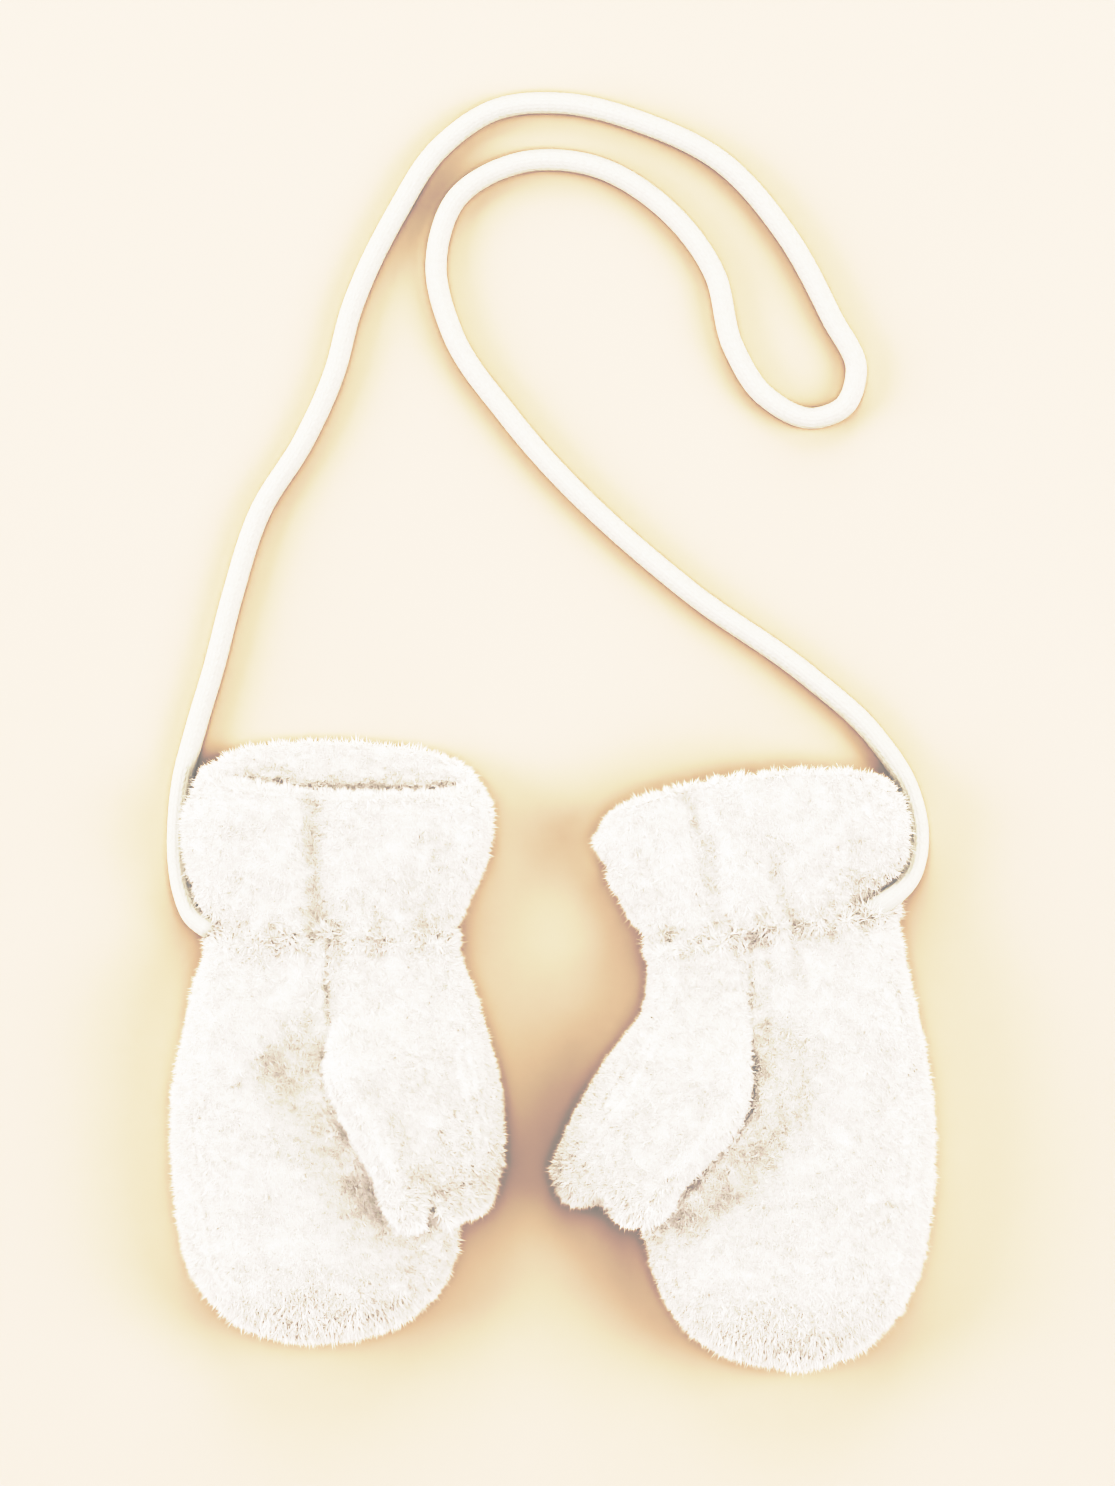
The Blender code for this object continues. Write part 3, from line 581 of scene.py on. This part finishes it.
def layOut(co, normal, outside, facts):
    # how far each point is along the tube and, in half turns, round it, the way that the pile lies there
    # and the way across it, and the tube's length and perimeter
    start = np.array(facts["start"]) * mm
    end = np.array(facts["end"]) * mm
    length = np.linalg.norm(end - start)
    way = (end - start) / length
    right = np.array([way[1], -way[0]])
    along = (co[:, :2] - start) @ way
    offset = (co[:, :2] - start) @ right
    chosen = outside > 0.5
    window = clothFacts["window"]
    bins, low, high = [], [], []
    for place in np.linspace(-window, length, clothFacts["windows"]):
        near = chosen & (np.abs(along - place) < window)
        if near.any():
            bins.append(place)
            low.append(offset[near].min())
            high.append(offset[near].max())
    left = np.interp(along, bins, low)
    far = np.interp(along, bins, high)
    widest = max(high) - min(low)
    half = np.maximum((far - left) / 2, clothFacts["narrowest"] * widest / 2)
    middle = (left + far) / 2
    radius = clothFacts["sideRadius"]
    flat = np.maximum(half - radius, clothFacts["flatLeast"])
    turn = np.arctan2(normal[:, :2] @ right, normal[:, 2])
    place = np.clip(offset - middle, -flat, flat)
    over = place + radius * turn
    side = np.where(np.abs(turn) > clothFacts["underTurn"], np.sign(place), np.sign(turn))
    under = side * (flat + radius * np.abs(turn) + flat - side * place)
    around = np.where(np.abs(turn) <= math.pi / 2, over, under) / (2 * flat + math.pi * radius)
    lay = np.zeros_like(co)
    lay[:, :2] = way
    lay -= normal * np.sum(lay * normal, axis=1, keepdims=True)
    lay /= np.maximum(np.linalg.norm(lay, axis=1, keepdims=True), clothFacts["layLeast"])
    across = np.cross(lay, normal)
    if facts["mouth"]:    # towards the fingertips, as on the hand
        lay = -lay
    return along, around, lay, across, length, 2 * (widest + math.pi * radius)


def neighbours(co, facts):
    # how each point lies to the pieces that it is sewn to, and to the piece beside it
    trees = solidsOf(facts["joins"])
    ends = [nearest(point, trees) for point in co]
    seamGap = np.array([distance for _, distance in ends])
    bridge = np.array([place for place, _ in ends]) - co
    bridge /= np.maximum(np.linalg.norm(bridge, axis=1, keepdims=True), 1e-6)
    trees = solidsOf(facts["beside"])
    sides = [nearest(point, trees) for point in co]
    gaps = np.array([distance for _, distance in sides])
    lift = np.array([place[2] for place, _ in sides]) - co[:, 2]
    return {
        "bridge": bridge,    # the way to the next piece
        "joined": 1 - rise(seamGap, *clothFacts["sewn"]),
        "nearSeam": 1 - rise(seamGap, *clothFacts["nearSeam"]),
        "gaps": gaps,
        "pressed": 1 - rise(gaps, *clothFacts["pressed"]),
        "beneath": rise(lift, *clothFacts["beneath"]),
        "aboveCrotch": rise(co[:, 1], *clothFacts["crotch"]),
    }


def creaseDepth(co, normal, side):
    # how far a mitten's creases press in at each point, and below 0 how far its ridges stand out
    atEnds, inMiddle = clothFacts["creaseFade"]
    total = np.zeros(len(co))
    for face, marks in creases[side].items():
        facing = rise(normal[:, 2] * face, *clothFacts["facing"])
        for x0, y0, x1, y1, width, depth in marks:
            first = np.array((x0, y0)) * mm
            run = np.array((x1, y1)) * mm - first
            share = np.clip((co[:, :2] - first) @ run / (run @ run), 0.0, 1.0)
            away = np.linalg.norm(co[:, :2] - first - share[:, None] * run, axis=1)
            fade = atEnds + inMiddle * np.sin(math.pi * share)
            total += facing * depth * mm * np.exp(-(away / (width * mm)) ** 2) * fade
    return total


def outlineDepth(co, normal, side):
    # the same for the nicks and swellings of its outline
    total = np.zeros(len(co))
    for x, y, width, out in outlines[side]:
        away = np.linalg.norm(co[:, :2] - np.array((x, y)) * mm, axis=1)
        total -= out * mm * np.exp(-(away / (width * mm)) ** 2)
    return total * (1 - normal[:, 2] ** 2)


def knitDepth(co, normal, outside, near, side, facts):
    # how far each point of the knit lies inside the solid's skin
    skin = rise(outside, 0.0, 1.0)
    depth = clothFacts["pileDepth"] * skin * lessBelow(normal, clothFacts["underTilt"])
    depth = depth * (1 - near["pressed"]) * (1 - clothFacts["seamShallower"] * near["nearSeam"])
    filling = (near["gaps"] / 2 + clothFacts["overlap"]) * (1 - rise(near["gaps"], *clothFacts["filled"]))
    depth -= filling * near["aboveCrotch"]
    carved = creaseDepth(co, normal, side)
    if "swelling" in facts:
        carved = np.maximum(carved, -facts["swelling"] * mm)
    free = skin * (1 - near["pressed"] * np.maximum(near["aboveCrotch"], near["beneath"]))
    room = near["gaps"] + clothFacts["room"] * (1 - near["beneath"])
    depth += np.where(carved > 0, carved * free, np.maximum(carved, -room) * skin)
    depth += outlineDepth(co, normal, side) * free
    depth += noiseAt(co, clothFacts["unevenScale"]) * clothFacts["unevenness"] * mm * outside
    return depth


growthFacts = {
    "skinEdge": (0.05, 0.3),            # over which the pile starts at the outer skin's edge
    "underTilt": (-0.7, -0.2),
    "insideMouth": 0.9,
    "mouthFade": (0.024, 0.012),        # how deep in the mouth it ends, and how deep it is whole
    "tipLonger": 0.3,
    "tipFade": (0.020, 0.002),
    "pressedShorter": 0.45,
    "seamLonger": 0.3,
    "cordLonger": 0.35,
    "nearCord": (2.0 * mm, 6.0 * mm),
    "unevenness": 0.18,
    "unevenScale": 420,
    "seamUpright": 0.9,                 # on the hand and thumb, where the cuff's pile leans over theirs
}

cordSolid = solidsOf(["cord"])


def pileGrowth(co, normal, outside, along, length, near, mouth):
    # how much pile grows at each point, and how long it is
    amount = rise(outside, *growthFacts["skinEdge"]) * lessBelow(normal, growthFacts["underTilt"])
    reach = np.full(len(co), 1.0)
    if mouth:
        inside = growthFacts["insideMouth"] * nearEnd(along, length, growthFacts["mouthFade"])
        amount = np.maximum(amount, inside)
    else:
        reach += growthFacts["tipLonger"] * nearEnd(along, length, growthFacts["tipFade"])
    reach *= 1 - growthFacts["pressedShorter"] * near["pressed"] * (1 - near["aboveCrotch"])
    reach *= 1 + growthFacts["unevenness"] * noiseAt(co, growthFacts["unevenScale"])
    cordGaps = np.array([nearest(point, cordSolid)[1] for point in co])
    nearCord = 1 - rise(cordGaps, *growthFacts["nearCord"])
    reach *= (1 + growthFacts["seamLonger"] * near["nearSeam"]) * (1 + growthFacts["cordLonger"] * nearCord)
    return amount, reach


def makeShell(nodeName, facts, material):
    # the knit under the pile, and what the pile needs to know at each point of it
    mesh = smoothed(weldedCopy(nodeName), clothFacts["levels"])
    mesh.name = nodeName + "_knit"
    co = readVectors(mesh.vertices, "co")
    normal = readVectors(mesh.vertex_normals, "vector")
    outside = readFloats(mesh, "outside")
    along, around, lay, across, length, perimeter = layOut(co, normal, outside, facts)
    near = neighbours(co, facts)
    way = lay * (-1 if facts["mouth"] else 1)
    inward = normal - way * (np.sum(normal * way, axis=1) * near["joined"])[:, None]
    if facts["mouth"]:
        atRim = nearEnd(along, length, clothFacts["rimFade"])
        inward -= way * (np.sum(inward * way, axis=1) * atRim)[:, None]
    depth = knitDepth(co, normal, outside, near, nodeName.split("_")[0], facts)
    stretch = near["joined"] * clothFacts["stretch"] * mm
    co = co - inward * depth[:, None] + near["bridge"] * stretch[:, None]
    co[:, 2] = np.maximum(co[:, 2], clothFacts["floorGap"])
    mesh.vertices.foreach_set("co", co.ravel())
    mesh.update()
    amount, reach = pileGrowth(co, normal, outside, along, length, near, facts["mouth"])
    if not facts["mouth"]:
        lay = lay * (1 - growthFacts["seamUpright"] * near["nearSeam"])[:, None]
    columnPlace = around * round(perimeter / clothFacts["stitchWidth"]) / 2
    rows = {"pileAmount": amount, "pileReach": reach, "columnPlace": columnPlace, "pileLay": lay,
            "pileAcross": across}
    for label, values in rows.items():
        writeRows(mesh, label, values)
    corner = np.empty(len(mesh.loops), dtype=np.int32)
    mesh.loops.foreach_get("vertex_index", corner)
    spots = np.stack([columnPlace, along / clothFacts["stitchHeight"]], axis=1)[corner]
    mesh.uv_layers.new(name="stitch").data.foreach_set("uv", spots.ravel())
    mesh.materials.clear()
    mesh.materials.append(material)
    mesh.shade_smooth()
    return placed(nodeName + "_knit", mesh)


pileFacts = {
    "tufts": 6,                     # different ones
    "tuftSeed": 11,
    "blades": 18,                   # in each tuft
    "bladeWidth": 0.21 * mm,
    "bladeWidths": (0.4, 0.62),     # half of a root's width, of that
    "bladeLengths": (0.75, 1.15),
    "outerShorter": 0.15,
    "rootSpread": 0.34,             # of the blades' roots, in lengths
    "rootDepth": 0.08,
    "widest": 68.0,                 # degrees that the outermost blades lean out
    "crowding": 0.6,                # of the blades towards the outside, 1 for none
    "nextTurn": 2.399963,           # radians from one blade to the next
    "turnWander": 0.5,
    "roll": 0.8,                    # radians, at the most, of a blade about its own length
    "spacing": 0.66 * mm,           # between tufts at the nearest
    "mostTufts": 4.0e6,             # in a square metre
    "length": 1.8 * mm,
    "sizes": (0.72, 1.25),          # of the tufts, of that length
    "lean": 0.4,                    # towards the lay of the pile, 0 to 1
    "disorder": 0.3,
    "gather": 0.6,                  # how far a tuft is drawn to the middle of its column, 0 to 1
    "floorGap": 0.12 * mm,
    "seed": 20,
    "look": {
        "shader": {"Roughness": 0.9, "Sheen Weight": 0.25, "Sheen Roughness": 0.5},
        "base": (0.99, 0.985, 0.97),
        "deep": (0.975, 0.968, 0.95),
        "mottleScale": 450.0,
        "mottleAmount": 0.6,
    },
}


def makeTufts(material):
    # small bunches of fine pointed blades, one unit tall, in a collection of their own
    facts = pileFacts
    rng = random.Random(facts["tuftSeed"])
    holder = bpy.data.collections.new("tuftPatterns")
    width = facts["bladeWidth"] / facts["length"]
    for number in range(facts["tufts"]):
        verts = []
        faces = []
        for k in range(facts["blades"]):
            share = (k + 0.5) / facts["blades"]
            tilt = math.radians(facts["widest"]) * share ** facts["crowding"]
            turn = facts["nextTurn"] * k + rng.uniform(-facts["turnWander"], facts["turnWander"])
            out = Vector((math.cos(turn), math.sin(turn), 0.0))
            way = out * math.sin(tilt) + Vector((0.0, 0.0, math.cos(tilt)))
            root = out * facts["rootSpread"] * rng.uniform(0.0, 1.0) - Vector((0.0, 0.0, facts["rootDepth"]))
            tip = root + way * rng.uniform(*facts["bladeLengths"]) * (1.0 - facts["outerShorter"] * share)
            roll = rng.uniform(-facts["roll"], facts["roll"])
            level = Vector((-out.y, out.x, 0.0))
            side = level * math.cos(roll) + way.cross(level) * math.sin(roll)
            half = side * width * rng.uniform(*facts["bladeWidths"])
            faces.append((len(verts), len(verts) + 1, len(verts) + 2))
            verts += [root - half, root + half, tip]
        mesh = bpy.data.meshes.new(f"tuft{number}")
        mesh.from_pydata(verts, [], faces)
        mesh.materials.append(material)
        holder.objects.link(bpy.data.objects.new(f"tuft{number}", mesh))
    return holder


def pileTree():
    # tufts spread over a cloth and drawn into its knit columns
    tree, given, out = groupWith("GeometryNodeTree", "pileOnKnit", [
        ("Geometry", "INPUT", "NodeSocketGeometry", None),
        ("Tufts", "INPUT", "NodeSocketCollection", None),
        ("Material", "INPUT", "NodeSocketMaterial", None),
        ("Spacing", "INPUT", "NodeSocketFloat", 0.001),
        ("Length", "INPUT", "NodeSocketFloat", 0.002),
        ("Lean", "INPUT", "NodeSocketFloat", 0.4),
        ("Disorder", "INPUT", "NodeSocketFloat", 0.3),
        ("Gather", "INPUT", "NodeSocketFloat", 0.0008),
        ("Floor Gap", "INPUT", "NodeSocketFloat", 0.0001),
        ("Seed", "INPUT", "NodeSocketInt", 3),
        ("Geometry", "OUTPUT", "NodeSocketGeometry", None),
    ])

    def named(name, kind="FLOAT"):
        node = nodeOf(tree, "GeometryNodeInputNamedAttribute", {"Name": name}, data_type=kind)
        return node.outputs["Attribute"]

    def randomOf(kind, low, high):
        inputs = {"Min": low, "Max": high, "Seed": given.outputs["Seed"]}
        return nodeOf(tree, "FunctionNodeRandomValue", inputs, data_type=kind).outputs["Value"]

    def added(first, second):
        return nodeOf(tree, "ShaderNodeVectorMath", {0: first, 1: second}, operation="ADD").outputs[0]

    def scaled(vector, scale):
        return nodeOf(tree, "ShaderNodeVectorMath", {0: vector, "Scale": scale}, operation="SCALE").outputs[0]

    scatter = nodeOf(tree, "GeometryNodeDistributePointsOnFaces", {
        "Mesh": given.outputs["Geometry"], "Distance Min": given.outputs["Spacing"],
        "Density Max": pileFacts["mostTufts"], "Density Factor": named("pileAmount"),
        "Seed": given.outputs["Seed"]}, distribute_method="POISSON")
    kept = nodeOf(tree, "GeometryNodeStoreNamedAttribute", {
        "Geometry": scatter.outputs["Points"], "Name": "clothNormal", "Value": scatter.outputs["Normal"]},
        data_type="FLOAT_VECTOR", domain="POINT")
    aside = mathNode(tree, "SUBTRACT", 0.5, mathNode(tree, "FRACT", named("columnPlace")))
    move = scaled(named("pileAcross", "FLOAT_VECTOR"),
                  mathNode(tree, "MULTIPLY", aside, given.outputs["Gather"]))
    inColumns = nodeOf(tree, "GeometryNodeSetPosition", {
        "Geometry": kept.outputs["Geometry"], "Offset": move})
    upright = scaled(named("clothNormal", "FLOAT_VECTOR"),
                     mathNode(tree, "SUBTRACT", 1.0, given.outputs["Lean"]))
    leaning = scaled(named("pileLay", "FLOAT_VECTOR"), given.outputs["Lean"])
    stray = scaled(randomOf("FLOAT_VECTOR", (-1.0, -1.0, -1.0), (1.0, 1.0, 1.0)), given.outputs["Disorder"])
    direction = added(added(upright, leaning), stray)
    stand = nodeOf(tree, "FunctionNodeAlignRotationToVector", {"Vector": direction}, axis="Z")
    spin = randomOf("FLOAT", 0.0, 2 * math.pi)
    spun = nodeOf(tree, "FunctionNodeAxisAngleToRotation", {"Axis": (0.0, 0.0, 1.0), "Angle": spin})
    turned = nodeOf(tree, "FunctionNodeRotateRotation", {
        "Rotation": stand.outputs[0], "Rotate By": spun.outputs[0]}, rotation_space="LOCAL")
    length = mathNode(tree, "MULTIPLY", given.outputs["Length"], named("pileReach"))
    size = mathNode(tree, "MULTIPLY", length, randomOf("FLOAT", *pileFacts["sizes"]))
    source = nodeOf(tree, "GeometryNodeCollectionInfo", {
        "Collection": given.outputs["Tufts"], "Separate Children": True, "Reset Children": True})
    planted = nodeOf(tree, "GeometryNodeInstanceOnPoints", {
        "Points": inColumns.outputs[0], "Instance": source.outputs[0], "Pick Instance": True,
        "Instance Index": randomOf("INT", 0, pileFacts["tufts"] - 1), "Rotation": turned.outputs[0],
        "Scale": size})
    real = nodeOf(tree, "GeometryNodeRealizeInstances", {"Geometry": planted.outputs[0]})
    place = nodeOf(tree, "GeometryNodeInputPosition").outputs[0]
    parts = nodeOf(tree, "ShaderNodeSeparateXYZ", {0: place}).outputs
    lifted = mathNode(tree, "MAXIMUM", parts[2], given.outputs["Floor Gap"])
    above = nodeOf(tree, "ShaderNodeCombineXYZ", {0: parts[0], 1: parts[1], 2: lifted})
    rested = nodeOf(tree, "GeometryNodeSetPosition", {
        "Geometry": real.outputs[0], "Position": above.outputs[0]})
    dressed = nodeOf(tree, "GeometryNodeSetMaterial", {
        "Geometry": rested.outputs[0], "Material": given.outputs["Material"]})
    tree.links.new(dressed.outputs[0], out.inputs[0])
    return tree


def makePile(shell, facts, tree, tufts, material, seed):
    name = shell.name.replace("_knit", "_pile")
    holder = placed(name + "Base", shell.data.copy())
    modifier = holder.modifiers.new("pile", "NODES")
    modifier.node_group = tree
    settings = {
        "Tufts": tufts,
        "Material": material,
        "Spacing": pileFacts["spacing"] * facts["sparse"],
        "Length": pileFacts["length"],
        "Lean": pileFacts["lean"],
        "Disorder": pileFacts["disorder"],
        "Gather": pileFacts["gather"] * clothFacts["stitchWidth"],
        "Floor Gap": pileFacts["floorGap"],
        "Seed": seed,
    }
    for item in tree.interface.items_tree:
        if item.item_type == "SOCKET" and item.in_out == "INPUT" and item.name in settings:
            modifier[item.identifier] = settings[item.name]
    mesh = finished(holder)
    mesh.name = name
    for label in ("clothNormal", "pileLay", "pileAcross", "pileAmount", "pileReach", "columnPlace",
                  "outside"):
        if label in mesh.attributes:
            mesh.attributes.remove(mesh.attributes[label])
    return placed(name, mesh)


def makeMittens():
    ground = makeMaterial("plushKnitGround", clothFacts["look"])
    plush = makeMaterial("plushPile", pileFacts["look"])
    tufts = makeTufts(plush)
    tree = pileTree()
    for number, (nodeName, facts) in enumerate(pieces.items()):
        shell = makeShell(nodeName, facts, ground)
        pile = makePile(shell, facts, tree, tufts, plush, pileFacts["seed"] + number)
        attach(shell, "root")
        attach(pile, "root")
        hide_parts(nodeName)
    for helper in list(tufts.objects):
        bpy.data.objects.remove(helper)
    bpy.data.collections.remove(tufts)


makeMittens()


studio = {
    "floorSize": 3.0,
    "floorLook": {
        "shader": {"Roughness": 0.75, "Specular IOR Level": 0.2},
        "base": (0.614, 0.564, 0.504),
        "deep": (0.60479, 0.55272, 0.48636),
        "mottleScale": 6.0,
        "mottleAmount": 0.5,
    },
    "worldColour": (1.0, 0.945, 0.947),
    "worldStrength": 0.70,
    "lampsAim": (0.0, 0.02, 0.0),
    "lampDistance": 1.3,
    "lampSize": 0.9,
    "lamps": [
        # name, azimuth from +Y, elevation, power, colour
        ("soft_overhead", 0, 90, 9.0, (1.0, 0.931, 0.874)),
        ("soft_left", -90, 20, 14.6, (1.0, 0.932, 0.894)),
        ("soft_left_rear", -60, 25, 4.4, (1.0, 0.906, 0.869)),
        ("soft_right", 90, 35, 10.2, (1.0, 0.934, 0.886)),
        ("soft_right_low", 90, 20, 5.3, (1.0, 0.908, 0.884)),
        ("soft_top", 0, 25, 8.4, (1.0, 0.965, 0.849)),
        ("soft_front", 180, 25, 2.2, (1.0, 0.95, 0.90)),
    ],
    # linear light against linear tone
    "response": [
        (0.0, 0.0), (0.15, 0.10), (0.4, 0.19), (0.65, 0.295), (0.79, 0.485),
        (0.92, 0.70), (1.0, 0.81), (1.215, 0.92), (1.415, 0.975), (2.0, 1.0),
    ],
}


def makeStudio():
    half = studio["floorSize"] / 2
    floor = meshObject("floor", [(-half, -half, 0), (half, -half, 0), (half, half, 0), (-half, half, 0)],
                       [(0, 1, 2, 3)], makeMaterial("paleSurface", studio["floorLook"]))
    for name, azimuth, elevation, power, colour in studio["lamps"]:
        data = bpy.data.lights.new(name, "AREA")
        data.shape = "DISK"
        data.size = studio["lampSize"]
        data.energy = power
        data.color = colour
        turn = math.radians(azimuth)
        lift = math.radians(elevation)
        way = Vector((math.sin(turn) * math.cos(lift), math.cos(turn) * math.cos(lift), math.sin(lift)))
        lamp = placed(name, data)
        lamp.location = Vector(studio["lampsAim"]) + way * studio["lampDistance"]
        lamp.rotation_euler = (-way).to_track_quat("-Z", "Y").to_euler()
    world = bpy.data.worlds.new("softRoom")
    world.use_nodes = True
    background = world.node_tree.nodes["Background"]
    background.inputs["Color"].default_value = (*studio["worldColour"], 1.0)
    background.inputs["Strength"].default_value = studio["worldStrength"]
    bpy.context.scene.world = world


def makeTones():
    # a response that is soft at the white end and steep below it
    settings = bpy.context.scene.view_settings
    settings.view_transform = "Standard"
    settings.look = "None"
    settings.use_curve_mapping = True
    mapping = settings.curve_mapping
    brightest = studio["response"][-1][0]
    mapping.white_level = (brightest, brightest, brightest)
    combined = mapping.curves[3]
    for light, shown in studio["response"][1:-1]:    # the curve has its two ends from the start
        combined.points.new(light / brightest, shown)
    mapping.update()


makeStudio()
makeTones()
print("studio lit")
